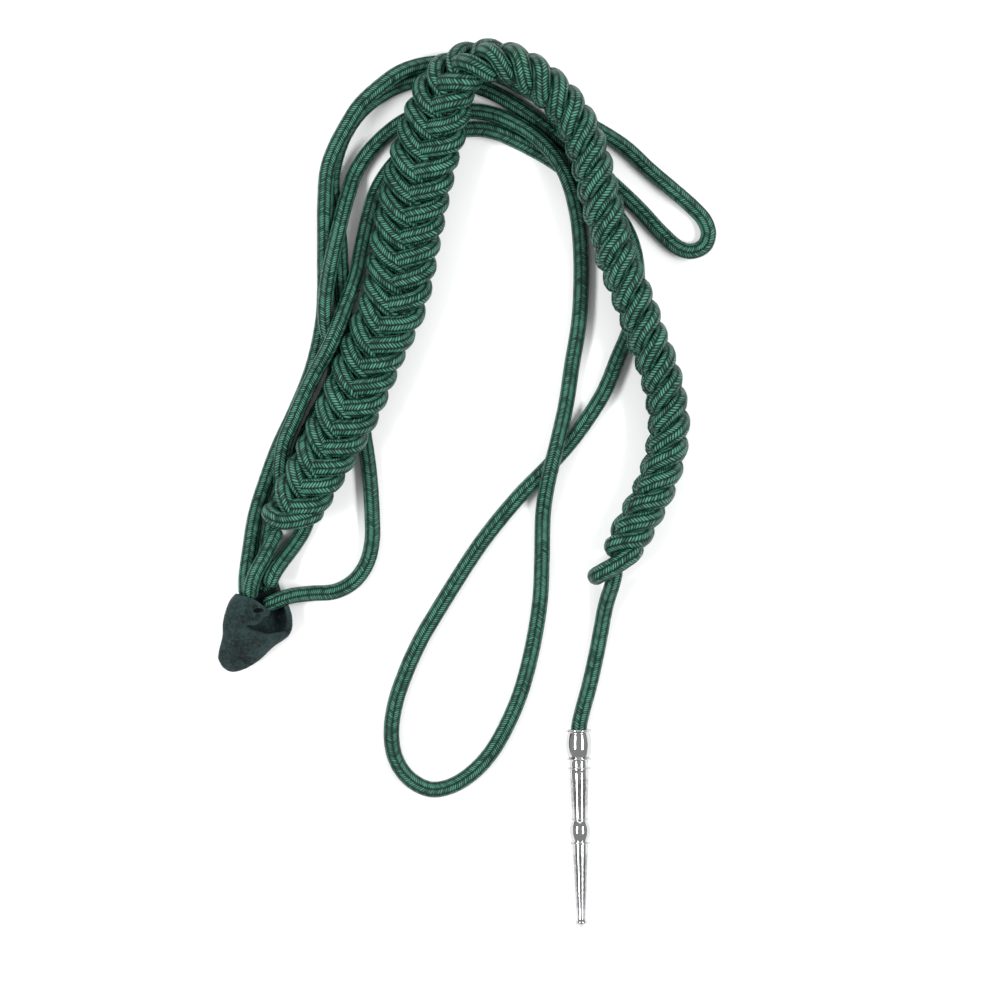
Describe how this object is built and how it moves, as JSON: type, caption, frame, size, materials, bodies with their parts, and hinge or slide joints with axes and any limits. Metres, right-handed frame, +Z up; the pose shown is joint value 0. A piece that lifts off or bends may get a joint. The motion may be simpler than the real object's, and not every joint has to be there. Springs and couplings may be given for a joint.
{
  "type": "aiguillette",
  "caption": "Braided shoulder cord for a uniform: a thick chain of cord with plain cord loops, a rolled felt tab and a pointed metal tip on a short cord.",
  "frame": {"origin": "middle of the box around the chain, the felt tab and the metal tip, on the floor that the cord lies on", "axes": "+Y from the metal tip towards the top bend of the chain, +X towards the side of the tip, +Z up from the floor"},
  "size_m": [0.1885, 0.335, 0.031],
  "materials": {
    "cord": "satin braided cord",
    "felt": "matt felt",
    "metal": "polished"
  },
  "bodies": {
    "root": {"plait": "cord", "plait_start_cord": "cord", "small_loop_cord": "cord", "big_loop_cord": "cord", "tip_cord": "cord", "metal_tip": "metal", "felt_tab": "felt"}
  },
  "joints": []
}
